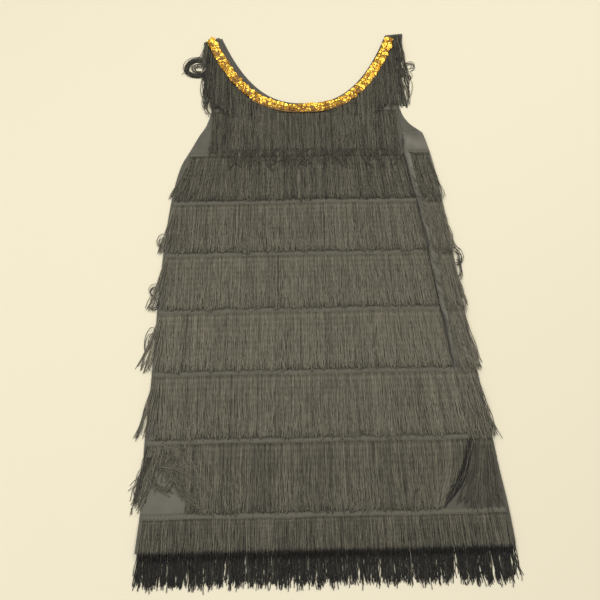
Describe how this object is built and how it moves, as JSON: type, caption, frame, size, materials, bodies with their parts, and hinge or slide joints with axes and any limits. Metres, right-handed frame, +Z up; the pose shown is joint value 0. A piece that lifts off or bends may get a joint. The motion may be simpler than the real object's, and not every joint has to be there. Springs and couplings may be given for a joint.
{
  "type": "fringed flapper dress",
  "caption": "Sleeveless black flapper dress laid flat, with tiers of long fringe, a scoop neck edged with a gold sequin band and fringed straps.",
  "frame": {"origin": "on the underside of the back panel, near the middle of the dress", "axes": "+Y from the hem to the neck, +X to the right as seen face up, +Z up from the surface through the front"},
  "size_m": [0.4879, 0.912, 0.0088],
  "materials": {
    "jersey": "matte knit",
    "fringe": "soft sheen, twisted strands",
    "sequins": "metallised gold, glossy"
  },
  "bodies": {
    "root": {"back_panel": "jersey", "front_panel": "jersey", "neck_trim": "sequins", "front_fringe_1": "fringe", "front_fringe_2": "fringe", "front_fringe_3": "fringe", "front_fringe_4": "fringe", "front_fringe_5": "fringe", "front_fringe_6": "fringe", "front_fringe_7": "fringe", "front_fringe_8": "fringe", "back_fringe_2": "fringe", "back_fringe_3": "fringe", "back_fringe_4": "fringe", "back_fringe_5": "fringe", "back_fringe_6": "fringe", "back_fringe_7": "fringe", "back_fringe_8": "fringe", "strap_fringe_left_upper": "fringe", "strap_fringe_right_upper": "fringe", "strap_fringe_left_lower": "fringe", "strap_fringe_right_lower": "fringe"}
  },
  "joints": []
}
